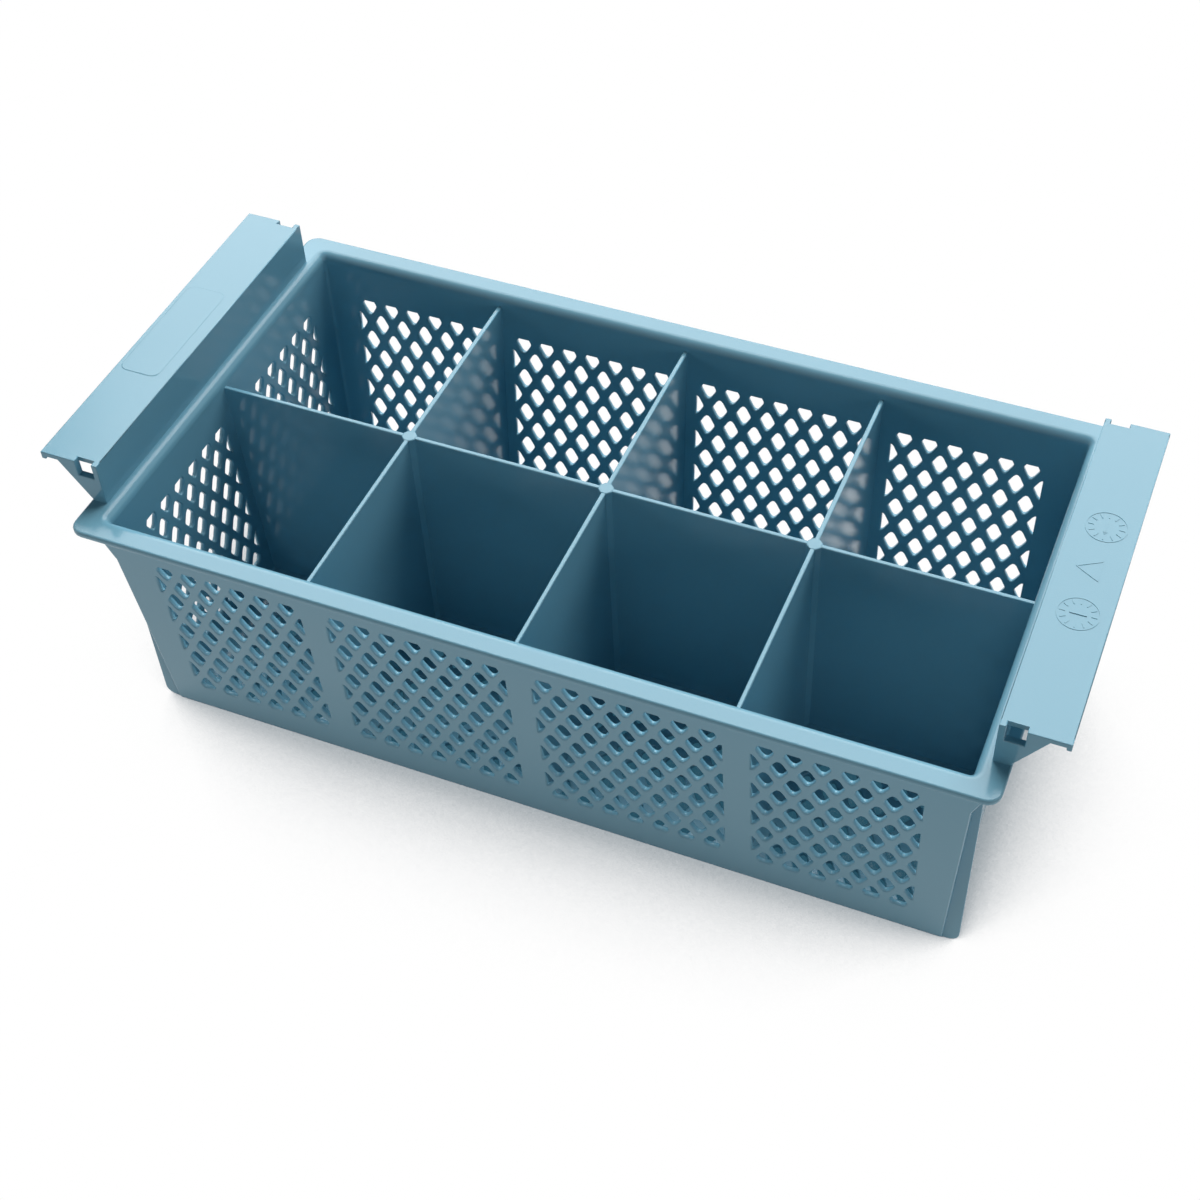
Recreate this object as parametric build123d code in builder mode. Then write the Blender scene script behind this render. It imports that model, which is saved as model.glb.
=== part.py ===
"""Dishwasher cutlery basket: a moulded tub of eight cells with lattice walls and two end handles."""
import os
from math import atan2, degrees

from build123d import *

# Tub, millimetres; X runs along the basket, Z is up from the standing surface
rim_height = 122.0
mouth_length = 372.0
mouth_width = 192.8
foot_length = 362.0
foot_width = 173.2
wall = 2.6
base = 2.6

# Rim
rim_length = 391.5
rim_width = 210.0
rim_thickness = 3.0
rim_corner = 6.0
lip_width = 4.0
lip_depth = 4.4
lip_round = 4.2

# Dividers and the posts where they cross
divider_height = 116.6
divider_top = 2.0
divider_foot = 2.8
cross_pitch = 92.0
cross_count = 3
post_width = 6.4

# Handles
handle_span = 430.0
handle_height = 143.2
handle_length = 172.6
handle_wall = 2.6
handle_setback = 1.0
plate_thickness = 2.6
plate_lip = 4.0
lip_thickness = 2.0
gusset_thickness = 3.0
gusset_reach = 16.4
notch_width = 7.8
notch_height = 8.3

# Fins and webs at the four corners
fin_length = 375.6
fin_thickness = 2.0
fin_inset = 0.6
fin_corner = 4.0
web_height = 21.0
web_reach = 7.0
web_thickness = 2.0

# Lattice panels
hole_pitch = 11.5
row_pitch = 10.15
hole_width = 7.6
hole_height = 13.4
panel_middle = 58.0
hole_rows = 3
outer_columns = 6
inner_columns = 7
end_columns = 6
outer_panel_at = 132.6
inner_panel_at = 46.0
end_panel_at = 41.0

# Drain holes in the base, on a larger copy of the walls' lattice
base_scale = 2.3
base_columns = 3
base_rows = 1

overcut = 1.0


def half_length(height):
    """Half the tub's outer length at a height."""
    return (foot_length + (mouth_length - foot_length) * height / rim_height) / 2


def half_width(height):
    """Half the tub's outer width at a height."""
    return (foot_width + (mouth_width - foot_width) * height / rim_height) / 2


def tub_profile(plane, half_size):
    """Draw the tub's drafted outline, seen from one side."""
    with BuildSketch(plane) as profile:
        with BuildLine():
            Polyline(
                (half_size(0), 0),
                (half_size(rim_height), rim_height),
                (-half_size(rim_height), rim_height),
                (-half_size(0), 0),
                close=True,
            )
        make_face()
    return profile.sketch


def hollow_profile(plane, half_size):
    """Draw the hollow's outline, seen from one side, with its rounded mouth."""
    lip_foot = rim_height - lip_depth
    foot = half_size(base) - wall
    neck = half_size(lip_foot) - wall
    mouth = neck + lip_width
    with BuildSketch(plane) as profile:
        with BuildLine():
            Polyline((-neck, lip_foot), (-foot, base), (foot, base), (neck, lip_foot))
            RadiusArc((neck, lip_foot), (mouth, rim_height), lip_round)
            Polyline(
                (mouth, rim_height),
                (mouth, rim_height + overcut),
                (-mouth, rim_height + overcut),
                (-mouth, rim_height),
            )
            RadiusArc((-mouth, rim_height), (-neck, lip_foot), lip_round)
        make_face()
    return profile.sketch


def divider_profile(plane, places):
    """Draw dividers that thicken towards the base, seen along their length."""
    with BuildSketch(plane) as profile:
        for place in places:
            with BuildLine():
                Polyline(
                    (place - divider_foot / 2, 0),
                    (place + divider_foot / 2, 0),
                    (place + divider_top / 2, divider_height),
                    (place - divider_top / 2, divider_height),
                    close=True,
                )
            make_face()
    return profile.sketch


def lattice(plane, panels, rows, scale=1.0):
    """Draw the full diamonds of each panel, given its middle and its columns."""
    across = scale * hole_pitch
    along = 2 * scale * row_pitch
    side_tip = scale * hole_width / 2
    top_tip = scale * hole_height / 2
    with BuildSketch(plane) as holes:
        for middle, columns in panels:
            centre = Location(middle)
            straight = GridLocations(across, along, columns, rows).local_locations
            between = GridLocations(across, along, columns - 1, rows + 1).local_locations
            with Locations([centre * place for place in straight + between]):
                Polygon((side_tip, 0), (0, top_tip), (-side_tip, 0), (0, -top_tip))
    return holes.sketch


cross_places = [cross_pitch * (n - (cross_count - 1) / 2) for n in range(cross_count)]

with BuildPart() as hollow:
    extrude(hollow_profile(Plane.XZ, half_length), amount=rim_width, both=True)
    extrude(hollow_profile(Plane.YZ, half_width), amount=rim_length, both=True, mode=Mode.INTERSECT)
    extrude(divider_profile(Plane.YZ, [0]), amount=rim_length, both=True, mode=Mode.SUBTRACT)
    extrude(divider_profile(Plane.XZ, cross_places), amount=rim_width, both=True, mode=Mode.SUBTRACT)
    with BuildSketch(Plane.XY) as posts:
        with Locations([(place, 0) for place in cross_places]):
            RegularPolygon(post_width / 2, side_count=8, major_radius=False)
    extrude(amount=divider_height, mode=Mode.SUBTRACT)

handle_inner = half_length(rim_height - lip_depth) - wall + lip_width + handle_setback
plate_under = handle_height - plate_thickness
rim_under = rim_height - rim_thickness

with BuildPart() as handle:
    with BuildSketch(Plane.XZ) as handle_profile:
        with BuildLine():
            Polyline(
                (handle_inner, rim_under),
                (handle_inner, handle_height),
                (handle_span / 2, handle_height),
                (handle_span / 2, handle_height - plate_lip),
                (handle_span / 2 - lip_thickness, handle_height - plate_lip),
                (handle_span / 2 - lip_thickness, plate_under),
                (handle_inner + handle_wall, plate_under),
                (handle_inner + handle_wall, rim_under),
                close=True,
            )
        make_face()
    extrude(amount=handle_length / 2, both=True)
    with BuildSketch(Plane.XZ.offset(handle_length / 2)) as gusset_profile:
        with BuildLine():
            Polyline(
                (handle_inner, rim_under),
                (handle_inner, plate_under),
                (handle_inner + handle_wall + gusset_reach, plate_under),
                (rim_length / 2, rim_height),
                (rim_length / 2, rim_under),
                close=True,
            )
        make_face()
    gusset = extrude(amount=-gusset_thickness)
    mirror(gusset, about=Plane.XZ)
    with BuildSketch(Plane.XZ.offset(handle_length / 2)) as notch_profile:
        with Locations((handle_inner + handle_wall, handle_height)):
            Rectangle(notch_width, 2 * notch_height, align=(Align.MIN, Align.CENTER))
    notch = extrude(amount=-gusset_thickness, mode=Mode.PRIVATE)
    add(notch, mode=Mode.SUBTRACT)
    mirror(notch, about=Plane.XZ, mode=Mode.SUBTRACT)

with BuildPart() as corner:
    fin_face = half_width(0) - fin_inset
    with BuildSketch(Plane.XZ.offset(fin_face)) as fin_profile:
        with BuildLine():
            Polyline(
                (half_length(0) - wall / 2, 0),
                (fin_length / 2, 0),
                (fin_length / 2, rim_under),
                (half_length(rim_under) - wall / 2, rim_under),
                close=True,
            )
        make_face()
        fillet(fin_profile.vertices().sort_by(Axis.X)[-2:].sort_by(Axis.Y)[0], radius=fin_corner)
    extrude(amount=-fin_thickness)
    web_foot = rim_under - web_height
    with BuildSketch(Plane.XZ.offset(half_width(web_foot))) as web_profile:
        with BuildLine():
            Polyline(
                (half_length(web_foot) - wall / 2, web_foot),
                (half_length(web_foot), web_foot),
                (half_length(rim_under) + web_reach, rim_under),
                (half_length(rim_under) - wall / 2, rim_under),
                close=True,
            )
        make_face()
    extrude(amount=-web_thickness)

with BuildPart() as basket:
    extrude(tub_profile(Plane.XZ, half_length), amount=rim_width, both=True)
    extrude(tub_profile(Plane.YZ, half_width), amount=rim_length, both=True, mode=Mode.INTERSECT)
    with BuildSketch(Plane.XY.offset(rim_under)) as rim_outline:
        RectangleRounded(rim_length, rim_width, rim_corner)
    extrude(amount=rim_thickness)
    add(hollow.part, mode=Mode.SUBTRACT)
    add(handle.part)
    mirror(handle.part, about=Plane.YZ)
    for front_corner in (corner.part, corner.part.mirror(Plane.YZ)):
        add(front_corner)
        mirror(front_corner, about=Plane.XZ)

    long_draft = degrees(atan2(mouth_width - foot_width, 2 * rim_height))
    end_draft = degrees(atan2(mouth_length - foot_length, 2 * rim_height))
    panel_places = (-outer_panel_at, -inner_panel_at, inner_panel_at, outer_panel_at)
    panel_columns = (outer_columns, inner_columns, inner_columns, outer_columns)
    long_panels = [((place, 0), columns) for place, columns in zip(panel_places, panel_columns)]
    end_panels = [((-end_panel_at, 0), end_columns), ((end_panel_at, 0), end_columns)]
    cell_middle = half_width(0) / 2
    base_panels = [((place, side * cell_middle), base_columns) for place in panel_places for side in (-1, 1)]
    long_origin = (0, -half_width(panel_middle), panel_middle)
    end_origin = (half_length(panel_middle), 0, panel_middle)
    long_face = Plane(long_origin, x_dir=(1, 0, 0), z_dir=(0, -1, 0)).rotated((long_draft, 0, 0))
    end_face = Plane(end_origin, x_dir=(0, 1, 0), z_dir=(1, 0, 0)).rotated((end_draft, 0, 0))
    for face, panels, other_side in ((long_face, long_panels, Plane.XZ), (end_face, end_panels, Plane.YZ)):
        holes = lattice(face.offset(overcut), panels, hole_rows)
        cut = extrude(holes, amount=-(wall + 2 * overcut), mode=Mode.PRIVATE)
        add(cut, mode=Mode.SUBTRACT)
        mirror(cut, about=other_side, mode=Mode.SUBTRACT)

    drain = lattice(Plane.XY.offset(-overcut), base_panels, base_rows, base_scale)
    extrude(drain, amount=base + 2 * overcut, mode=Mode.SUBTRACT)

basket.part.label = "basket"
os.makedirs("parts", exist_ok=True)
export_step(basket.part, "parts/basket.step")
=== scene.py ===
from math import atan2, cos, pi, radians, sin

import bmesh
import bpy
from bpy.props import FloatProperty, FloatVectorProperty, IntProperty, PointerProperty
from mathutils import Matrix, Quaternion, Vector


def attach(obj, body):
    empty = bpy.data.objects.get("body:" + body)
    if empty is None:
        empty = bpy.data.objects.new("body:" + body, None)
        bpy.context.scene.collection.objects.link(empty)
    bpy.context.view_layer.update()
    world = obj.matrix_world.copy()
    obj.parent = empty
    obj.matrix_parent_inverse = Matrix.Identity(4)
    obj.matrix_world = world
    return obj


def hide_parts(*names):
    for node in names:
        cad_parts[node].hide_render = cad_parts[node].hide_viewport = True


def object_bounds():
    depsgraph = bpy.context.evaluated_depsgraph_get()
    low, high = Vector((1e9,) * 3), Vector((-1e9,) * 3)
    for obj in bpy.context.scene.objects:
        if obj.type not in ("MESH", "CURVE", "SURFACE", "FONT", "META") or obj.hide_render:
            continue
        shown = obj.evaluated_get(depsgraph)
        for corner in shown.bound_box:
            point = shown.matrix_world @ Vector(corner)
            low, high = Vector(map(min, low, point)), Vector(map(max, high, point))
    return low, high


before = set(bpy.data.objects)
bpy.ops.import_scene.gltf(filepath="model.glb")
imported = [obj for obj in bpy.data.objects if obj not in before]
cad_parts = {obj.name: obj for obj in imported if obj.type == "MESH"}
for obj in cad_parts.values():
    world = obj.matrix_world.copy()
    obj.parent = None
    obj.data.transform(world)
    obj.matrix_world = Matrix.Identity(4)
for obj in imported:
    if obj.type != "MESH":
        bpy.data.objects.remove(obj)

bl_info = {
    "name": "Cutlery Basket",
    "version": (1, 0, 0),
    "blender": (4, 5, 0),
    "location": "3D View > Sidebar > Basket",
    "description": "Builds a moulded cutlery basket with lattice walls, eight cells and two end handles",
    "category": "Add Mesh",
}

MM = 0.001
CAD_LOW, CAD_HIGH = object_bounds()
WHITE = (1.0, 1.0, 1.0)
PLASTIC_IOR = 1.49
NOISE_MEAN = 0.5
SENSOR_WIDTH = 36.0
NEAREST_VIEW = 0.01
SHADE_SAMPLES = 12

# How finely round shapes are stepped
ARC_STEPS = 5
EDGE_STEPS = 3
FINE_STEPS = 2
BIG_CORNER_STEPS = 6
POST_SIDES = 8
DIAL_SIDES = 64

# Metres within which points are merged, or lie on a cutting plane
MERGE_REACH = 2e-5
CUT_REACH = 1e-7


def length(name, description, millimetres):
    """A length that a user may change, given in millimetres."""
    return FloatProperty(
        name=name, description=description, default=millimetres * MM, min=0.0, unit="LENGTH", precision=4
    )


def angle(name, description, degrees):
    """An angle that a user may change, given in degrees."""
    return FloatProperty(name=name, description=description, default=radians(degrees), unit="ROTATION")


def amount(name, description, value):
    """A plain number that a user may change."""
    return FloatProperty(name=name, description=description, default=value, min=0.0)


def share(name, description, value):
    """A share from 0 to 1 that a user may change."""
    return FloatProperty(
        name=name, description=description, default=value, min=0.0, max=1.0, subtype="FACTOR"
    )


def power(name, description, watts):
    """A lamp's power that a user may change, given in watts."""
    return FloatProperty(name=name, description=description, default=watts, min=0.0, unit="POWER")


def tally(name, description, value):
    """A whole number that a user may change."""
    return IntProperty(name=name, description=description, default=value, min=1)


def spot(name, description, value):
    """A point in metres that a user may change."""
    return FloatVectorProperty(
        name=name, description=description, default=value, subtype="TRANSLATION", size=3
    )


def extent(name, description, value):
    """A width and a height in metres that a user may change."""
    return FloatVectorProperty(
        name=name, description=description, default=value, min=0.0, unit="LENGTH", size=2
    )


def colour(name, description, value):
    """A colour that a user may change."""
    return FloatVectorProperty(
        name=name, description=description, default=value, subtype="COLOR", size=3, min=0.0, max=1.0
    )


class TubSizes(bpy.types.PropertyGroup):
    """Sizes of the drafted tub and its base."""

    rim_height: length("Rim height", "Height of the rim's top over the standing surface", 122.0)
    mouth_length: length("Mouth length", "Outer length of the tub at the rim's height", 372.0)
    mouth_width: length("Mouth width", "Outer width of the tub at the rim's height", 192.8)
    foot_length: length("Foot length", "Outer length of the tub at the base", 362.0)
    foot_width: length("Foot width", "Outer width of the tub at the base", 173.2)
    wall: length("Wall", "Thickness of the walls", 2.6)
    base: length("Base", "Thickness of the base", 2.6)
    outer_corner: length("Outer corner", "Radius of the tub's upright outer corners", 0.7)
    inner_corner: length("Inner corner", "Radius of the tub's upright inner corners", 1.4)
    foot_round: length("Foot rounding", "Rounding between the walls and the base", 0.8)


class RimSizes(bpy.types.PropertyGroup):
    """Sizes of the rim flange and its rounded lip."""

    length: length("Rim length", "Length over the rim flange", 391.5)
    width: length("Rim width", "Width over the rim flange", 2 * CAD_HIGH.y / MM)
    thickness: length("Rim thickness", "Thickness of the rim flange", 3.0)
    corner: length("Rim corner", "Radius of the rim flange's corners", 6.0)
    edge_round: length("Edge rounding", "Rounding of the rim flange's outer edge", 1.0)
    lip_width: length("Lip width", "How far the rounded lip reaches over the rim's top", 4.0)
    lip_depth: length("Lip depth", "How far the rounded lip reaches down the walls", 4.4)
    support: length("Support", "Width of the narrow bands that keep flat faces flat beside a rounding", 0.25)


class LatticeSizes(bpy.types.PropertyGroup):
    """Sizes of the diamond lattice in the walls and the base."""

    hole_pitch: length("Hole pitch", "Distance between two holes of a row", 11.5)
    row_pitch: length("Row pitch", "Distance between two rows", 10.15)
    hole_width: length("Hole width", "Width of a hole before its tips are rounded", 7.6)
    hole_height: length("Hole height", "Height of a hole before its tips are rounded", 13.4)
    tip_radius: length("Tip radius", "Rounding of the holes' tips", 1.6)
    edge_round: length("Edge rounding", "Softened edge around each hole", 0.5)
    panel_middle: length("Panel middle", "Height of the middle of the wall panels", 58.0)
    top_crop: length("Top crop", "How much of the top row shows over its middle", 2.2)
    foot_crop: length("Foot crop", "How much of the lowest row shows under its middle", 2.5)
    wall_rows: tally("Wall rows", "Rows of holes in a wall panel", 9)
    base_rows: tally("Base rows", "Rows of holes in a base panel", 7)
    outer_columns: tally("Outer columns", "Columns of an outer or end panel", 6)
    inner_columns: tally("Inner columns", "Columns of an inner panel", 7)
    outer_place: length("Outer place", "Distance of the outer panels from the middle", 132.6)
    inner_place: length("Inner place", "Distance of the inner panels from the middle", 46.0)
    end_place: length("End place", "Distance of the end wall's panels from the middle", 41.0)


class DividerSizes(bpy.types.PropertyGroup):
    """Sizes of the dividers and of the posts where they cross."""

    height: length("Height", "Height of the dividers' top edges", 116.6)
    top: length("Top", "Thickness at the top edge", 2.0)
    foot: length("Foot", "Thickness at the base", 2.8)
    pitch: length("Pitch", "Distance between two cross dividers", 92.0)
    count: tally("Count", "Number of cross dividers", 3)
    post: length("Post", "Width of the eight-sided posts", 6.4)
    post_rise: length("Post rise", "How far the posts stand over the dividers", 0.15)
    edge_round: length("Edge rounding", "Rounding of the dividers' top edges", 0.45)
    bury: length("Bury", "How far the dividers run into the walls", 1.0)


class HandleSizes(bpy.types.PropertyGroup):
    """Sizes of the two end handles."""

    reach: length("Reach", "Distance of the handle's outer edge from the middle", CAD_HIGH.x / MM)
    height: length("Height", "Height of the handle's top", CAD_HIGH.z / MM)
    length: length("Length", "Length of the handle across the basket", 172.6)
    inner: length("Inner", "Distance of the handle's upright wall from the middle", 188.22)
    wall: length("Wall", "Thickness of the upright wall", 2.6)
    plate: length("Plate", "Thickness of the top plate", 2.6)
    lip: length("Lip", "Depth of the plate's turned-down edge", 4.0)
    lip_wall: length("Lip wall", "Thickness of the turned-down edge", 2.0)
    gusset: length("Gusset", "Thickness of the end gussets", 3.0)
    gusset_reach: length("Gusset reach", "Length of a gusset under the plate", 16.4)
    notch_width: length("Notch width", "Width of the notch at each end", 7.8)
    notch_height: length("Notch height", "Depth of the notch at each end", 8.3)
    edge_round: length("Edge rounding", "Rounding of the handle's edges", 0.35)


class MarkSizes(bpy.types.PropertyGroup):
    """Sizes of the faint moulded marks on the handles."""

    stroke: length("Stroke", "Width of the marks' lines", 0.5)
    line_rise: length("Line rise", "Height of the lines and of the raised panel", 0.16)
    pointer_rise: length("Pointer rise", "Height of the bar on one of the dials", 0.3)
    place: length("Place", "Distance of the dials and the triangle from the basket's middle", 202.4)
    dial_spread: length("Dial spread", "Distance of a dial from the handle's middle", 24.2)
    dial_radius: length("Dial radius", "Radius of a dial's ring", 8.4)
    tick_start: length("Tick start", "Distance of the ticks from a dial's middle", 5.0)
    tick_length: length("Tick length", "Length of a tick", 2.3)
    ticks: tally("Ticks", "Ticks round a dial", 12)
    pointer: length("Pointer", "Length of a dial's pointer", 6.6)
    triangle: length("Triangle", "Distance of the triangle's corners from its middle", 6.8)
    panel_place: length("Panel place", "Distance of the raised panel from the basket's middle", 203.6)
    panel_width: length("Panel width", "Width of the raised panel", 19.1)
    panel_length: length("Panel length", "Length of the raised panel", 60.0)
    panel_corner: length("Panel corner", "Radius of the raised panel's corners", 4.0)
    panel_slope: length("Panel slope", "Width of the raised panel's sloping edge", 0.4)


class CornerSizes(bpy.types.PropertyGroup):
    """Sizes of the upright fins and the webs at the four corners."""

    fin_length: length("Fin length", "Distance over the fins of both ends", 375.6)
    fin_thickness: length("Fin thickness", "Thickness of a fin", 2.0)
    fin_inset: length("Fin inset", "How far a fin stands back from the foot of the long wall", 0.6)
    fin_corner: length("Fin corner", "Radius of a fin's lower corner", 4.0)
    web_height: length("Web height", "Height of a web under the rim", 21.0)
    web_reach: length("Web reach", "How far a web reaches out under the rim", 7.0)
    web_thickness: length("Web thickness", "Thickness of a web", 2.0)
    edge_round: length("Edge rounding", "Rounding of the fins' and webs' edges", 0.4)


class PlasticFinish(bpy.types.PropertyGroup):
    """The moulded plastic's colour, gloss and faint unevenness."""

    tint: colour("Tint", "Main colour of the plastic", (0.180, 0.405, 0.522))
    deep: colour("Deep tint", "Colour where the plastic has flowed a little darker", (0.168, 0.384, 0.496))
    gloss: share("Roughness", "Mean roughness of the satin surface", 0.14)
    specular: share("Specular level", "Strength of the surface's reflections", 0.32)
    flow_scale: amount("Flow scale", "Fineness of the slow change of tint", 11.0)
    haze_scale: amount("Haze scale", "Fineness of the cloudy change of tint and roughness", 70.0)
    grain_scale: amount("Grain scale", "Fineness of the moulded grain", 1500.0)
    ripple_scale: amount("Ripple scale", "Fineness of the low waves in the surface", 26.0)
    haze_share: share("Haze share", "Share of the haze in the change of tint", 0.3)
    haze_rough: amount("Haze roughness", "How much the haze changes the roughness", 0.03)
    grain_rough: amount("Grain roughness", "How much the grain changes the roughness", 0.02)
    grain_relief: amount("Grain relief", "Strength of the grain's relief", 0.05)
    grain_depth: length("Grain depth", "Depth of the grain's relief", 0.3)
    ripple_relief: amount("Ripple relief", "Strength of the waves' relief", 0.04)
    ripple_depth: length("Ripple depth", "Depth of the waves' relief", 2.0)


class StageLook(bpy.types.PropertyGroup):
    """The camera's place, the floor and the light."""

    azimuth: angle("Azimuth", "Camera's turn about the basket", 22.652)
    elevation: angle("Elevation", "Camera's height angle", 47.43)
    roll: angle("Roll", "Camera's turn about its own axis", -1.463)
    distance: length("Distance", "Camera's distance from its aim", 832.899)
    aim: spot("Aim", "Point on the camera's axis", (0.022534, -0.007068, 0.07))
    focal: FloatProperty(
        name="Focal length",
        description="Focal length for a 36 mm sensor",
        default=57.835,
        min=1.0,
        unit="CAMERA",
    )
    shift: FloatVectorProperty(
        name="Shift",
        description="Camera's shift, in widths of the picture",
        default=(-0.0431, -0.0092),
        size=2,
    )
    floor_reach: length("Floor reach", "Half the floor's width", 4000.0)
    floor_drop: length("Floor drop", "How far the floor lies under the basket", 0.4)
    floor_glow: amount("Floor glow", "Light that the white floor throws on the basket", 0.56)
    # The floor's shadow is painted shade: its colour darkens towards Shade with ambient occlusion near the
    # basket.
    shade: colour("Shade", "Colour of the floor's deepest shadow", (0.02, 0.08, 0.12))
    shade_reach: length("Shade reach", "How far off a thing still shades the floor", 300.0)
    shade_dark: share("Shade dark", "Share of open sky at which the floor is darkest", 0.33)
    shade_gain: amount("Shade gain", "How soon the floor turns white away from the basket", 3.8)
    # Painted light: the floor behind this distance is whitened by its colour, not by the lamp.
    painted_lit_from: length("Lit from", "Distance behind the middle from which the lamp lights the floor", 86.0)
    painted_lit_gain: amount("Lit gain", "How soon the floor behind turns white, per metre", 70.0)
    key_place: spot("Key place", "Place of the large lamp behind", (-0.35, 3.6, 4.1))
    key_aim: spot("Key aim", "Point that the large lamp shines at", (0.0, 0.0, 0.1))
    key_size: extent("Key size", "Width and height of the large lamp", (6.4, 5.2))
    key_power: power("Key power", "Power of the large lamp", 530.0)
    side_place: spot("Side place", "Place of the right low lamp; the left one mirrors it", (1.9, -0.9, 0.5))
    side_aim: spot("Side aim", "Point that the low lamps shine at", (0.0, 0.0, 0.06))
    side_size: extent("Side size", "Width and height of a low lamp", (0.9, 0.9))
    side_power: power("Side power", "Power of each low lamp", 6.3)
    cool: colour("Cool light", "Colour of the low lamps", (0.868, 0.943, 1.0))
    ambient: amount("Ambient", "Strength of the light from all round", 0.035)


class BasketSettings(bpy.types.PropertyGroup):
    """Everything about the basket that a user may change."""

    tub: PointerProperty(type=TubSizes)
    rim: PointerProperty(type=RimSizes)
    lattice: PointerProperty(type=LatticeSizes)
    divider: PointerProperty(type=DividerSizes)
    handle: PointerProperty(type=HandleSizes)
    marks: PointerProperty(type=MarkSizes)
    corner: PointerProperty(type=CornerSizes)
    finish: PointerProperty(type=PlasticFinish)
    stage: PointerProperty(type=StageLook)


class Wire:
    """A shader socket; arithmetic on wires adds Math nodes to their tree."""

    def __init__(self, tree, socket=None):
        self.tree = tree
        self.socket = socket

    def node(self, kind, settings, inputs, output=0):
        """Add a node with its settings, then its inputs, and return one of its outputs."""
        made = self.tree.nodes.new(kind)
        for name, value in settings.items():
            setattr(made, name, value)
        for key, value in inputs.items():
            if isinstance(value, Wire):
                self.tree.links.new(value.socket, made.inputs[key])
            else:
                made.inputs[key].default_value = value
        return Wire(self.tree, made.outputs[output] if made.outputs else None)

    def math(self, operation, first, second):
        """Add one Math node."""
        return self.node("ShaderNodeMath", {"operation": operation}, {0: first, 1: second})

    def mix(self, blend, first, second):
        """Add one Mix node that goes from a first to a second colour."""
        sockets = {0: blend, 6: opaque(first), 7: opaque(second)}
        return self.node("ShaderNodeMix", {"data_type": "RGBA"}, sockets, 2)

    def noise(self, scale, detail, roughness):
        """Add cloudy noise that follows this coordinate."""
        sockets = {"Vector": self, "Scale": scale, "Detail": detail, "Roughness": roughness}
        return self.node("ShaderNodeTexNoise", {}, sockets)

    def __add__(self, other):
        return self.math("ADD", self, other)

    def __radd__(self, other):
        return self.math("ADD", other, self)

    def __sub__(self, other):
        return self.math("SUBTRACT", self, other)

    def __rsub__(self, other):
        return self.math("SUBTRACT", other, self)

    def __mul__(self, other):
        return self.math("MULTIPLY", self, other)

    def __rmul__(self, other):
        return self.math("MULTIPLY", other, self)


def opaque(value):
    """A colour with full alpha."""
    return (*value, 1.0)


def blank_nodes(owner):
    """Empty a material's or a world's node tree and return a wire into it."""
    owner.use_nodes = True
    owner.node_tree.nodes.clear()
    return Wire(owner.node_tree)


def moulded_plastic(finish):
    """The satin polypropylene of the whole basket, made once."""
    material = bpy.data.materials.get("moulded_plastic")
    if material:
        return material
    material = bpy.data.materials.new("moulded_plastic")
    wire = blank_nodes(material)
    place = wire.node("ShaderNodeTexCoord", {}, {}, "Object")
    flow = place.noise(finish.flow_scale, detail=3.0, roughness=0.55)
    haze = place.noise(finish.haze_scale, detail=4.0, roughness=0.6)
    grain = place.noise(finish.grain_scale, detail=2.0, roughness=0.5)
    ripple = place.noise(finish.ripple_scale, detail=1.0, roughness=0.4)
    cloud = flow * (1 - finish.haze_share) + haze * finish.haze_share
    uneven = (haze - NOISE_MEAN) * finish.haze_rough + (grain - NOISE_MEAN) * finish.grain_rough
    fine = wire.node(
        "ShaderNodeBump",
        {},
        {"Strength": finish.grain_relief, "Distance": finish.grain_depth, "Height": grain},
    )
    relief = wire.node(
        "ShaderNodeBump",
        {},
        {
            "Strength": finish.ripple_relief,
            "Distance": finish.ripple_depth,
            "Height": ripple,
            "Normal": fine,
        },
    )
    surface = wire.node(
        "ShaderNodeBsdfPrincipled",
        {},
        {
            "Base Color": wire.mix(cloud, finish.deep, finish.tint),
            "Roughness": finish.gloss + uneven,
            "Normal": relief,
            "IOR": PLASTIC_IOR,
            "Specular IOR Level": finish.specular,
        },
    )
    wire.node("ShaderNodeOutputMaterial", {}, {"Surface": surface})
    return material


def half_length(tub, height):
    """Half the tub's outer length at a height."""
    return (tub.foot_length + (tub.mouth_length - tub.foot_length) * height / tub.rim_height) / 2


def half_width(tub, height):
    """Half the tub's outer width at a height."""
    return (tub.foot_width + (tub.mouth_width - tub.foot_width) * height / tub.rim_height) / 2


def add_piece(name, mesh, settings):
    """Make an object of a finished mesh; it stands for the solid and moves with the basket."""
    data = bpy.data.meshes.new(name)
    mesh.to_mesh(data)
    mesh.free()
    data.materials.append(moulded_plastic(settings.finish))
    piece = bpy.data.objects.new(name, data)
    bpy.context.scene.collection.objects.link(piece)
    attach(piece, "root")
    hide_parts("basket")


def soften(mesh, edges, width, steps):
    """Round edges over and shade the new faces smoothly."""
    made = bmesh.ops.bevel(
        mesh,
        geom=edges,
        affect="EDGES",
        offset=width,
        offset_type="OFFSET",
        segments=steps,
        profile=0.5,
        material=-1,
        clamp_overlap=True,
    )
    for face in made["faces"]:
        face.smooth = True


def round_points(mesh, points, reach, steps):
    """Round a flat face's corners and return that face."""
    made = bmesh.ops.bevel(
        mesh,
        geom=points,
        affect="VERTICES",
        offset=reach,
        offset_type="OFFSET",
        segments=steps,
        profile=0.5,
        material=-1,
    )
    return made["verts"][0].link_faces[0]


def rounded_ring(mesh, half_x, half_y, height, radius):
    """Add a flat rounded rectangle and return its loop of edges."""
    place = Matrix.Translation((0, 0, height)) @ Matrix.Diagonal((half_x, half_y, 1, 1))
    made = bmesh.ops.create_grid(mesh, x_segments=1, y_segments=1, size=1, matrix=place)
    face = round_points(mesh, made["verts"], radius, ARC_STEPS)
    loop = list(face.edges)
    bmesh.ops.delete(mesh, geom=[face], context="FACES_ONLY")
    return loop


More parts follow.
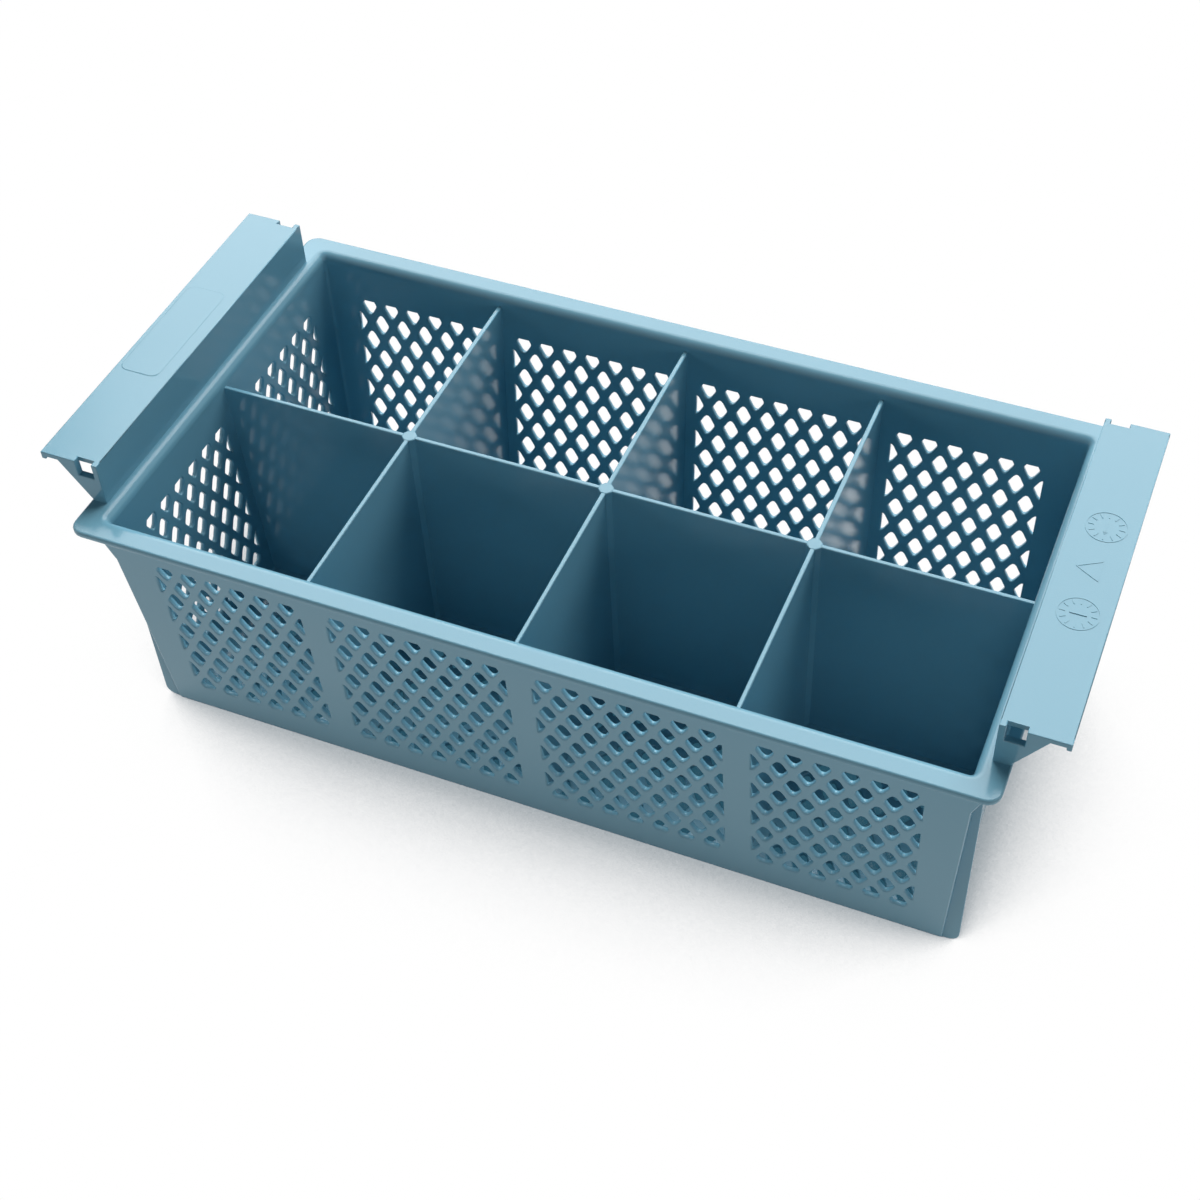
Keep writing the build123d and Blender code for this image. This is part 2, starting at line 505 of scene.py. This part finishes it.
def loft(mesh, sections):
    """Join rounded rectangles, given by half sizes, height and radius, into one skin; returns their loops.

    They are joined one metre apart, so that each loop finds its neighbour, and then moved to their heights.
    """
    rings = [
        rounded_ring(mesh, half_x, half_y, step, radius)
        for step, (half_x, half_y, _, radius) in enumerate(sections)
    ]
    for lower, upper in zip(rings, rings[1:]):
        for face in bmesh.ops.bridge_loops(mesh, edges=lower + upper)["faces"]:
            face.smooth = True
    for step, (ring, section) in enumerate(zip(rings, sections)):
        points = {point for edge in ring for point in edge.verts}
        bmesh.ops.translate(mesh, vec=(0, 0, section[2] - step), verts=list(points))
    return rings


def diamond_panel(lattice, columns, rows, halves_first, crop):
    """Make the plugs of one lattice panel, flat and centred.

    Half holes stand at the sides of every other row, and the top and lowest rows may be cropped.
    """
    mesh = bmesh.new()
    soft = lattice.edge_round
    half_w = lattice.hole_width / 2
    half_h = lattice.hole_height / 2
    slope = half_h / half_w
    lean = atan2(half_h, half_w)
    place = Matrix.Diagonal((half_w + soft / sin(lean), half_h + soft / cos(lean), 1, 1))
    made = bmesh.ops.create_circle(mesh, cap_ends=True, radius=1, segments=4, matrix=place)
    tips = [point for point in made["verts"] if abs(point.co.x) < half_w / 2]
    radius = lattice.tip_radius + soft
    face = round_points(mesh, tips, radius * slope, EDGE_STEPS)
    sides = [point for point in face.verts if abs(point.co.x) > half_w]
    face = round_points(mesh, sides, radius / slope, FINE_STEPS)
    seed = [face, *face.edges, *face.verts]
    for row in range(rows):
        whole = (row % 2 == 1) if halves_first else (row % 2 == 0)
        count = columns if whole else columns + 1
        up = ((rows - 1) / 2 - row) * lattice.row_pitch
        for column in range(count):
            along = (column - (count - 1) / 2) * lattice.hole_pitch
            copy = bmesh.ops.duplicate(mesh, geom=seed)["geom"]
            points = [part for part in copy if isinstance(part, bmesh.types.BMVert)]
            bmesh.ops.translate(mesh, vec=(along, up, 0), verts=points)
    bmesh.ops.delete(mesh, geom=[face], context="FACES")
    side = columns * lattice.hole_pitch / 2 + soft
    top_row = (rows - 1) / 2 * lattice.row_pitch
    cuts = [((side, 0, 0), (1, 0, 0)), ((-side, 0, 0), (-1, 0, 0))]
    if crop:
        cuts.append(((0, top_row + lattice.top_crop + soft, 0), (0, 1, 0)))
        cuts.append(((0, -top_row - lattice.foot_crop - soft, 0), (0, -1, 0)))
    for point, direction in cuts:
        bmesh.ops.bisect_plane(
            mesh,
            geom=[*mesh.verts, *mesh.edges, *mesh.faces],
            dist=CUT_REACH,
            plane_co=point,
            plane_no=direction,
            clear_outer=True,
        )
    panel = bpy.data.meshes.new("panel")
    mesh.to_mesh(panel)
    mesh.free()
    return panel


def place_panels(mesh, panels, frame_matrix):
    """Add panels of plugs on a plane and return their faces."""
    plugs = []
    for panel, along, up in panels:
        old = set(mesh.faces)
        mesh.from_mesh(panel)
        new = [face for face in mesh.faces if face not in old]
        points = list({point for face in new for point in face.verts})
        place = frame_matrix @ Matrix.Translation((along, up, 0))
        bmesh.ops.transform(mesh, matrix=place, verts=points)
        plugs += new
    for plug in plugs:
        plug.normal_update()
    return plugs


def perforate(mesh, outer_loop, inner_loop, panels, frame_matrix, depth, soft):
    """Fill an outer and an inner loop with flat faces and join them through the holes of a lattice."""
    normal = frame_matrix.to_3x3() @ Vector((0, 0, 1))
    sides = []
    for loop, at, facing in ((outer_loop, 0.0, 1), (inner_loop, -depth, -1)):
        turn = Matrix.Diagonal((facing, 1, facing, 1))
        plugs = place_panels(mesh, panels, frame_matrix @ Matrix.Translation((0, 0, at)) @ turn)
        edges = loop + [edge for plug in plugs for edge in plug.edges]
        bmesh.ops.triangle_fill(
            mesh, use_beauty=True, use_dissolve=False, edges=edges, normal=normal * facing
        )
        rims = bmesh.ops.inset_individual(
            mesh, faces=plugs, thickness=soft, depth=-soft, use_even_offset=True
        )
        for face in rims["faces"]:
            face.smooth = True
        sides.append(plugs)
    walls = bmesh.ops.extrude_discrete_faces(mesh, faces=sides[0])["faces"]
    points = {point for face in walls for point in face.verts}
    bmesh.ops.translate(mesh, vec=normal * (2 * soft - depth), verts=list(points))
    for face in walls:
        for edge in face.edges:
            for side in edge.link_faces:
                side.smooth = True
    shared = points | {point for face in sides[1] for point in face.verts}
    bmesh.ops.delete(mesh, geom=walls + sides[1], context="FACES_ONLY")
    bmesh.ops.remove_doubles(mesh, verts=list(shared), dist=MERGE_REACH)


def wall_frame(tub, lattice, outward):
    """The plane of a wall's outer face: along it, up it and out of it."""
    low, high = (
        Vector((outward.x * half_length(tub, height), outward.y * half_width(tub, height), height))
        for height in (0, tub.rim_height)
    )
    up = (high - low).normalized()
    along = Vector((0, 0, 1)).cross(outward)
    out = along.cross(up)
    middle = low.lerp(high, lattice.panel_middle / tub.rim_height)
    turn = Matrix((along, up, out)).transposed().to_4x4()
    return Matrix.Translation(middle) @ turn


def tub_sections(tub, rim):
    """The tub's skin as rounded rectangles: up the outside, over the rim and down the inside.

    Also returns the numbers of the rectangles at the foot of the outer walls and the top of the inner ones.
    """
    under = tub.rim_height - rim.thickness
    foot = tub.foot_round
    edge = rim.edge_round
    neck = tub.rim_height - rim.lip_depth
    neck_x = half_length(tub, neck) - tub.wall
    neck_y = half_width(tub, neck) - tub.wall
    arc = [radians(90 * step / ARC_STEPS) for step in range(ARC_STEPS + 1)]

    def outer(height, inset=0.0):
        """A rectangle round the tub's outside."""
        return (half_length(tub, height) - inset, half_width(tub, height) - inset, height, tub.outer_corner)

    def inner(height, inset=0.0):
        """A rectangle round the tub's inside."""
        inset += tub.wall
        return (half_length(tub, height) - inset, half_width(tub, height) - inset, height, tub.inner_corner)

    def flange(inset, height):
        """A rectangle round the rim's flange."""
        return (rim.length / 2 - inset, rim.width / 2 - inset, height, rim.corner - inset)

    def lip(out, height):
        """A rectangle round the mouth's rounded lip."""
        return (neck_x + out, neck_y + out, height, tub.inner_corner + out)

    outside = [outer(foot * (1 - cos(turn)), foot * (1 - sin(turn))) for turn in (arc[0], *arc[2:])]
    over = [outer(under - rim.support), outer(under), flange(edge + rim.support, under)]
    over += [flange(edge * (1 - sin(turn)), under + edge * (1 - cos(turn))) for turn in arc]
    over += [flange(edge * (1 - cos(turn)), tub.rim_height - edge * (1 - sin(turn))) for turn in arc]
    over += [flange(edge + rim.support, tub.rim_height), lip(rim.lip_width + rim.support, tub.rim_height)]
    over += [lip(rim.lip_width * (1 - sin(turn)), neck + rim.lip_depth * cos(turn)) for turn in arc]
    over += [inner(neck - rim.support)]
    inside = [inner(tub.base + foot * (1 - sin(turn)), foot * (1 - cos(turn))) for turn in arc]
    return outside + over + inside, len(outside) - 1, len(outside + over) - 1


def wall_faces(lower, upper):
    """The four large flat faces of the strip between two loops."""
    strip = {face for edge in lower for face in edge.link_faces}
    strip &= {face for edge in upper for face in edge.link_faces}
    return sorted(strip, key=lambda face: face.calc_area())[-4:]


def pierce_walls(mesh, tub, lattice, strips):
    """Put the lattice in the four walls, given the faces of the outer and of the inner ones."""
    wide = diamond_panel(lattice, lattice.inner_columns, lattice.wall_rows, halves_first=False, crop=True)
    narrow = diamond_panel(lattice, lattice.outer_columns, lattice.wall_rows, halves_first=False, crop=True)
    long_side = [
        (narrow, -lattice.outer_place, 0),
        (wide, -lattice.inner_place, 0),
        (wide, lattice.inner_place, 0),
        (narrow, lattice.outer_place, 0),
    ]
    end_side = [(narrow, -lattice.end_place, 0), (narrow, lattice.end_place, 0)]
    for outward in (Vector((0, -1, 0)), Vector((0, 1, 0)), Vector((-1, 0, 0)), Vector((1, 0, 0))):
        loops = []
        for strip in strips:
            face = max(strip, key=lambda face: face.calc_center_median().dot(outward))
            loops.append(list(face.edges))
            bmesh.ops.delete(mesh, geom=[face], context="FACES_ONLY")
            strip.remove(face)
        frame_matrix = wall_frame(tub, lattice, outward)
        lean = frame_matrix.to_3x3() @ Vector((0, 0, 1))
        panels = end_side if outward.x else long_side
        perforate(mesh, *loops, panels, frame_matrix, tub.wall * lean.dot(outward), lattice.edge_round)
    for panel in (wide, narrow):
        bpy.data.meshes.remove(panel)


def pierce_base(mesh, tub, lattice, under_loop, upper_loop):
    """Put the lattice in the base, one panel under each cell."""
    wide = diamond_panel(lattice, lattice.inner_columns, lattice.base_rows, halves_first=True, crop=False)
    narrow = diamond_panel(lattice, lattice.outer_columns, lattice.base_rows, halves_first=False, crop=False)
    cell = half_width(tub, 0) / 2
    panels = [
        (panel, side * place, row * cell)
        for panel, place in ((narrow, lattice.outer_place), (wide, lattice.inner_place))
        for side in (-1, 1)
        for row in (-1, 1)
    ]
    downward = Matrix.Rotation(pi, 4, "X")
    perforate(mesh, under_loop, upper_loop, panels, downward, tub.base, lattice.edge_round)
    for panel in (wide, narrow):
        bpy.data.meshes.remove(panel)


class BASKET_OT_tub(bpy.types.Operator):
    """Build the tub: drafted lattice walls, perforated base and rim with a rounded lip"""

    bl_idname = "basket.tub"
    bl_label = "Tub"

    def execute(self, context):
        settings = context.scene.cutlery_basket
        tub = settings.tub
        lattice = settings.lattice
        mesh = bmesh.new()
        sections, outer_foot, inner_top = tub_sections(tub, settings.rim)
        rings = loft(mesh, sections)
        strips = [wall_faces(rings[step], rings[step + 1]) for step in (outer_foot, inner_top)]
        pierce_walls(mesh, tub, lattice, strips)
        pierce_base(mesh, tub, lattice, rings[0], rings[-1])
        bmesh.ops.recalc_face_normals(mesh, faces=mesh.faces)
        add_piece("tub", mesh, settings)
        return {"FINISHED"}


def drafted_block(mesh, middle, foot, top, low, high):
    """Add a block whose half sizes change from its foot to its top, and return its top edges."""
    made = bmesh.ops.create_cube(mesh, size=2)["verts"]
    for point in made:
        upper = point.co.z > 0
        half = top if upper else foot
        along = middle[0] + point.co.x * half[0]
        across = middle[1] + point.co.y * half[1]
        point.co = (along, across, high if upper else low)
    edges = {edge for point in made for edge in point.link_edges}
    return [edge for edge in edges if all(point.co.z > (low + high) / 2 for point in edge.verts)]


class BASKET_OT_dividers(bpy.types.Operator):
    """Build the long divider, the cross dividers and the eight-sided posts where they meet"""

    bl_idname = "basket.dividers"
    bl_label = "Dividers"

    def execute(self, context):
        settings = context.scene.cutlery_basket
        tub = settings.tub
        divider = settings.divider
        mesh = bmesh.new()
        low = tub.base / 2
        run = tub.wall - divider.bury
        foot = divider.foot / 2
        top = divider.top / 2
        edges = drafted_block(
            mesh,
            (0, 0),
            (half_length(tub, low) - run, foot),
            (half_length(tub, divider.height) - run, top),
            low,
            divider.height,
        )
        places = [(step - (divider.count - 1) / 2) * divider.pitch for step in range(divider.count)]
        for place in places:
            edges += drafted_block(
                mesh,
                (place, 0),
                (foot, half_width(tub, low) - run),
                (top, half_width(tub, divider.height) - run),
                low,
                divider.height,
            )
        soften(mesh, edges, divider.edge_round, EDGE_STEPS)
        radius = divider.post / 2 / cos(pi / POST_SIDES)
        depth = divider.height + divider.post_rise - low
        for place in places:
            middle = low + depth / 2
            post = bmesh.ops.create_cone(
                mesh,
                cap_ends=True,
                segments=POST_SIDES,
                radius1=radius,
                radius2=radius,
                depth=depth,
                matrix=Matrix.Translation((place, 0, middle)) @ Matrix.Rotation(pi / POST_SIDES, 4, "Z"),
            )["verts"]
            edges = {edge for point in post for edge in point.link_edges}
            edges = [edge for edge in edges if all(point.co.z > middle for point in edge.verts)]
            soften(mesh, edges, divider.edge_round, FINE_STEPS)
        bmesh.ops.recalc_face_normals(mesh, faces=mesh.faces)
        add_piece("dividers", mesh, settings)
        return {"FINISHED"}


def extruded(mesh, outline, travel):
    """Add a flat outline and sweep it; returns the new points."""
    face = mesh.faces.new([mesh.verts.new(point) for point in outline])
    return sweep(mesh, face, travel)


def sweep(mesh, face, travel):
    """Sweep a face into a closed block and return its points."""
    start = list(face.verts)
    made = bmesh.ops.extrude_face_region(mesh, geom=[face], use_keep_orig=True)["geom"]
    end = [part for part in made if isinstance(part, bmesh.types.BMVert)]
    bmesh.ops.translate(mesh, vec=travel, verts=end)
    return start + end


def edges_of(points):
    """Every edge that joins two of these points."""
    chosen = set(points)
    return list({edge for point in points for edge in point.link_edges if set(edge.verts) <= chosen})


def handle_outlines(tub, rim, handle, top):
    """A handle's plate and its closed end, as outlines seen from the front."""
    foot = tub.rim_height - rim.thickness / 2
    ceiling = handle.height - handle.plate
    lip_low = handle.height - handle.lip
    lip_in = handle.reach - handle.lip_wall
    inner = handle.inner
    outer = inner + handle.wall
    notch = handle.height - handle.notch_height
    notch_end = outer + handle.notch_width
    gusset_end = outer + handle.gusset_reach
    rim_end = rim.length / 2 - rim.edge_round
    wall_edge = [(inner, foot), (inner, top)]
    notch_edge = [(outer, top), (outer, notch), (notch_end, notch), (notch_end, top)]
    plate_edge = [(handle.reach, top), (handle.reach, lip_low), (lip_in, lip_low), (lip_in, ceiling)]
    gusset_edge = [(gusset_end, ceiling), (rim_end, tub.rim_height), (rim_end, foot)]
    plate = wall_edge + plate_edge + [(outer, ceiling), (outer, foot)]
    end = wall_edge + notch_edge + plate_edge + gusset_edge
    return plate, end


class BASKET_OT_handles(bpy.types.Operator):
    """Build the two end handles with their gussets and notches"""

    bl_idname = "basket.handles"
    bl_label = "Handles"

    def execute(self, context):
        settings = context.scene.cutlery_basket
        handle = settings.handle
        mesh = bmesh.new()
        top = handle.height - settings.marks.pointer_rise
        plate, end = handle_outlines(settings.tub, settings.rim, handle, top)
        half = handle.length / 2
        join = half - handle.gusset
        points = extruded(mesh, [(x, -join, z) for x, z in plate], (0, 2 * join, 0))
        lengthwise = [
            edge for edge in edges_of(points) if abs(edge.verts[0].co.y - edge.verts[1].co.y) > join
        ]
        soften(mesh, lengthwise, handle.edge_round, EDGE_STEPS)
        for side in (-1, 1):
            points = extruded(mesh, [(x, side * join, z) for x, z in end], (0, side * handle.gusset, 0))
            edges = [
                edge
                for edge in edges_of(points)
                if any(abs(point.co.y) > half - handle.gusset / 2 for point in edge.verts)
            ]
            soften(mesh, edges, handle.edge_round, EDGE_STEPS)
        whole = [*mesh.verts, *mesh.edges, *mesh.faces]
        bmesh.ops.mirror(mesh, geom=whole, axis="X", merge_dist=0)
        bmesh.ops.recalc_face_normals(mesh, faces=mesh.faces)
        add_piece("handles", mesh, settings)
        return {"FINISHED"}


def outlined(mesh, face, stroke, rise):
    """Turn a flat face into a raised line along its edge."""
    line = bmesh.ops.inset_individual(mesh, faces=[face], thickness=stroke, use_even_offset=True)["faces"]
    bmesh.ops.delete(mesh, geom=[face], context="FACES_ONLY")
    made = bmesh.ops.extrude_face_region(mesh, geom=line, use_keep_orig=True)["geom"]
    upper = [part for part in made if isinstance(part, bmesh.types.BMVert)]
    bmesh.ops.translate(mesh, vec=(0, 0, rise), verts=upper)


def raised_panel(mesh, marks, low, sunk):
    """Add the plain raised panel with its sloping edge."""
    half = Matrix.Diagonal((marks.panel_width / 2, marks.panel_length / 2, 1, 1))
    place = Matrix.Translation((-marks.panel_place, 0, low)) @ half
    points = bmesh.ops.create_grid(mesh, x_segments=1, y_segments=1, size=1, matrix=place)["verts"]
    sweep(mesh, round_points(mesh, points, marks.panel_corner, BIG_CORNER_STEPS), (0, 0, sunk))
    bmesh.ops.recalc_face_normals(mesh, faces=mesh.faces)
    top = max(mesh.faces, key=lambda face: face.calc_center_median().z)
    bmesh.ops.inset_individual(
        mesh, faces=[top], thickness=marks.panel_slope, depth=marks.line_rise, use_even_offset=True
    )


def raised_triangle(mesh, marks, place, rise):
    """Add the outline of a triangle with rounded corners."""
    turned = place @ Matrix.Rotation(pi / 2, 4, "Z")
    made = bmesh.ops.create_circle(mesh, cap_ends=True, radius=marks.triangle, segments=3, matrix=turned)
    outlined(mesh, round_points(mesh, made["verts"], marks.stroke, EDGE_STEPS), marks.stroke, rise)


def raised_bar(mesh, place, size):
    """Add a bar that stands on a place and turns with it."""
    lift = Matrix.Translation((0, 0, size[2] / 2))
    bmesh.ops.create_cube(mesh, size=1, matrix=place @ lift @ Matrix.Diagonal((*size, 1)))


def raised_dial(mesh, marks, place, rise):
    """Add a dial's ring and its ticks."""
    made = bmesh.ops.create_circle(
        mesh, cap_ends=True, radius=marks.dial_radius, segments=DIAL_SIDES, matrix=place
    )
    outlined(mesh, made["verts"][0].link_faces[0], marks.stroke, rise)
    out = Matrix.Translation((0, marks.tick_start + marks.tick_length / 2, 0))
    for step in range(marks.ticks):
        turn = Matrix.Rotation(2 * pi * step / marks.ticks, 4, "Z")
        raised_bar(mesh, place @ turn @ out, (marks.stroke, marks.tick_length, rise))


def raised_arrow(mesh, marks, place, rise):
    """Add a dial's arrow: a bar with a pointed end."""
    raised_bar(mesh, place, (marks.stroke, marks.pointer, rise))
    tip = Matrix.Translation((0, -marks.pointer / 2, rise / 2)) @ Matrix.Rotation(pi, 4, "Z")
    bmesh.ops.create_cone(
        mesh,
        cap_ends=True,
        segments=3,
        radius1=2 * marks.stroke,
        radius2=2 * marks.stroke,
        depth=rise,
        matrix=place @ tip,
    )


class BASKET_OT_marks(bpy.types.Operator):
    """Build the moulded marks: a plain raised panel on one handle, two dials and a triangle on the other"""

    bl_idname = "basket.marks"
    bl_label = "Moulded marks"

    def execute(self, context):
        settings = context.scene.cutlery_basket
        marks = settings.marks
        sunk = marks.line_rise / 2
        rise = sunk + marks.line_rise
        low = settings.handle.height - marks.pointer_rise - sunk
        middle = Matrix.Translation((marks.place, 0, low))
        spread = Matrix.Translation((0, marks.dial_spread, 0))
        bar_dial = middle @ spread.inverted()
        arrow_dial = middle @ spread
        mesh = bmesh.new()
        raised_panel(mesh, marks, low, sunk)
        raised_triangle(mesh, marks, middle, rise)
        for dial in (bar_dial, arrow_dial):
            raised_dial(mesh, marks, dial, rise)
        raised_arrow(mesh, marks, arrow_dial, rise)
        raised_bar(mesh, bar_dial, (marks.pointer, 2 * marks.stroke, sunk + marks.pointer_rise))
        bmesh.ops.recalc_face_normals(mesh, faces=mesh.faces)
        add_piece("moulded_marks", mesh, settings)
        return {"FINISHED"}


class BASKET_OT_corners(bpy.types.Operator):
    """Build the upright fins and the webs under the rim at the four corners"""

    bl_idname = "basket.corners"
    bl_label = "Corner fins and webs"

    def execute(self, context):
        settings = context.scene.cutlery_basket
        tub = settings.tub
        corner = settings.corner
        mesh = bmesh.new()
        under = tub.rim_height - settings.rim.thickness
        inset = tub.wall / 2
        front = corner.fin_inset - half_width(tub, 0)
        outline = [
            (half_length(tub, 0) - inset, 0.0),
            (corner.fin_length / 2, 0.0),
            (corner.fin_length / 2, under),
            (half_length(tub, under) - inset, under),
        ]
        points = [mesh.verts.new((x, front, z)) for x, z in outline]
        mesh.faces.new(points)
        face = round_points(mesh, [points[1]], corner.fin_corner, BIG_CORNER_STEPS)
        fin = sweep(mesh, face, (0, corner.fin_thickness, 0))
        soften(mesh, edges_of(fin), corner.edge_round, FINE_STEPS)
        low = under - corner.web_height
        outline = [
            (half_length(tub, low) - inset, low),
            (half_length(tub, low), low),
            (half_length(tub, under) + corner.web_reach, under),
            (half_length(tub, under) - inset, under),
        ]
        outline = [(x, -half_width(tub, z), z) for x, z in outline]
        web = extruded(mesh, outline, (0, corner.web_thickness, 0))
        soften(mesh, edges_of(web), corner.edge_round, FINE_STEPS)
        for axis in ("X", "Y"):
            whole = [*mesh.verts, *mesh.edges, *mesh.faces]
            bmesh.ops.mirror(mesh, geom=whole, axis=axis, merge_dist=0)
        bmesh.ops.recalc_face_normals(mesh, faces=mesh.faces)
        add_piece("corner_fins", mesh, settings)
        return {"FINISHED"}


def seen_rays(wire):
    """One for the rays that show the background: those of the camera, of reflections and of glass."""
    rays = wire.node("ShaderNodeLightPath", {}, {}, "Is Camera Ray")
    for kind in ("Is Glossy Ray", "Is Transmission Ray"):
        rays = wire.math("MAXIMUM", rays, wire.node("ShaderNodeLightPath", {}, {}, kind))
    return rays


def floor_painted_shade(look):
    """White floor that glows, with painted shade and painted light: ambient occlusion darkens its colour
    softly under and before the basket, and painted light whitens it behind the basket.
    """
    material = bpy.data.materials.new("floor_painted_shade")
    wire = blank_nodes(material)
    openness = wire.node(
        "ShaderNodeAmbientOcclusion", {"samples": SHADE_SAMPLES}, {"Distance": look.shade_reach}, "AO"
    )
    place = wire.node("ShaderNodeTexCoord", {}, {}, "Object")
    depth = wire.node("ShaderNodeSeparateXYZ", {}, {"Vector": place}, "Y")
    # Painted light: past this distance behind the middle the floor is whitened as if the lamp behind lit it.
    painted_lit_behind = wire.math("MAXIMUM", (depth - look.painted_lit_from) * look.painted_lit_gain, 0.0)
    # Painted shade: the floor's colour goes from the shade colour to white as ambient occlusion opens up.
    tone = wire.mix((openness - look.shade_dark) * look.shade_gain + painted_lit_behind, look.shade, WHITE)
    # The floor glows with this painted shade, as light on the basket and, at full strength, where it is
    # seen.
    painted_glow_on_basket = wire.node("ShaderNodeEmission", {}, {"Color": tone, "Strength": look.floor_glow})
    painted_glow_seen = wire.node("ShaderNodeEmission", {}, {"Color": tone, "Strength": 1.0})
    mixed = wire.node("ShaderNodeMixShader", {}, {0: seen_rays(wire), 1: painted_glow_on_basket, 2: painted_glow_seen})
    wire.node("ShaderNodeOutputMaterial", {}, {"Surface": mixed})
    return material


def lay_floor(scene, look):
    """Lay the floor just under the basket."""
    mesh = bmesh.new()
    bmesh.ops.create_grid(mesh, x_segments=1, y_segments=1, size=look.floor_reach)
    bmesh.ops.translate(mesh, vec=(0, 0, -look.floor_drop), verts=mesh.verts)
    data = bpy.data.meshes.new("floor")
    mesh.to_mesh(data)
    mesh.free()
    data.materials.append(floor_painted_shade(look))
    floor = bpy.data.objects.new("floor", data)
    scene.collection.objects.link(floor)


def studio_world(look):
    """A faint light from all round, which shows as white."""
    world = bpy.data.worlds.new("studio")
    wire = blank_nodes(world)
    strength = seen_rays(wire) * (1 - look.ambient) + look.ambient
    sky = wire.node("ShaderNodeBackground", {}, {"Color": opaque(WHITE), "Strength": strength})
    wire.node("ShaderNodeOutputWorld", {}, {"Surface": sky})
    return world


def add_lamp(scene, name, place, aim, size, power, tone):
    """Hang a soft rectangular lamp that shines at a point."""
    lamp = bpy.data.lights.new(name, "AREA")
    lamp.shape = "RECTANGLE"
    lamp.size, lamp.size_y = size
    lamp.energy = power
    lamp.color = tone
    light = bpy.data.objects.new(name, lamp)
    light.location = place
    light.rotation_mode = "QUATERNION"
    light.rotation_quaternion = (Vector(aim) - Vector(place)).to_track_quat("-Z", "Y")
    scene.collection.objects.link(light)


def set_camera(scene, look):
    """Set the camera at the photograph's view."""
    across = cos(look.elevation)
    back = Vector((sin(look.azimuth) * across, -cos(look.azimuth) * across, sin(look.elevation)))
    lens = bpy.data.cameras.new("camera")
    lens.sensor_width = SENSOR_WIDTH
    lens.lens = look.focal
    lens.shift_x, lens.shift_y = look.shift
    lens.clip_start = NEAREST_VIEW
    camera = bpy.data.objects.new("camera", lens)
    camera.location = Vector(look.aim) + back * look.distance
    camera.rotation_mode = "QUATERNION"
    camera.rotation_quaternion = (-back).to_track_quat("-Z", "Y") @ Quaternion((0, 0, 1), look.roll)
    scene.collection.objects.link(camera)
    scene.camera = camera


class BASKET_OT_stage(bpy.types.Operator):
    """Set the floor, the soft light and the camera"""

    bl_idname = "basket.stage"
    bl_label = "Stage"

    def execute(self, context):
        scene = context.scene
        look = scene.cutlery_basket.stage
        lay_floor(scene, look)
        scene.world = studio_world(look)
        add_lamp(scene, "key_light", look.key_place, look.key_aim, look.key_size, look.key_power, WHITE)
        for name, side in (("right_light", 1), ("left_light", -1)):
            place = Vector((side * look.side_place.x, look.side_place.y, look.side_place.z))
            add_lamp(scene, name, place, look.side_aim, look.side_size, look.side_power, look.cool)
        set_camera(scene, look)
        scene.view_settings.view_transform = "Standard"
        return {"FINISHED"}


class BASKET_PT_panel(bpy.types.Panel):
    """The basket's sizes, colours and builders"""

    bl_idname = "BASKET_PT_panel"
    bl_label = "Cutlery Basket"
    bl_space_type = "VIEW_3D"
    bl_region_type = "UI"
    bl_category = "Basket"

    def draw(self, context):
        settings = context.scene.cutlery_basket
        for part in BasketSettings.__annotations__:
            box = self.layout.box()
            box.label(text=part.capitalize())
            group = getattr(settings, part)
            for name in group.__annotations__:
                box.prop(group, name)
        for builder in BUILDERS:
            self.layout.operator(builder.bl_idname)


BUILDERS = (
    BASKET_OT_tub,
    BASKET_OT_dividers,
    BASKET_OT_handles,
    BASKET_OT_marks,
    BASKET_OT_corners,
    BASKET_OT_stage,
)
CLASSES = (
    TubSizes,
    RimSizes,
    LatticeSizes,
    DividerSizes,
    HandleSizes,
    MarkSizes,
    CornerSizes,
    PlasticFinish,
    StageLook,
    BasketSettings,
    *BUILDERS,
    BASKET_PT_panel,
)


def register():
    for item in CLASSES:
        bpy.utils.register_class(item)
    bpy.types.Scene.cutlery_basket = PointerProperty(type=BasketSettings)


def unregister():
    del bpy.types.Scene.cutlery_basket
    for item in reversed(CLASSES):
        bpy.utils.unregister_class(item)


def main():
    register()
    bpy.ops.basket.tub()
    bpy.ops.basket.dividers()
    bpy.ops.basket.handles()
    bpy.ops.basket.marks()
    bpy.ops.basket.corners()
    bpy.ops.basket.stage()


if __name__ == "__main__":
    main()
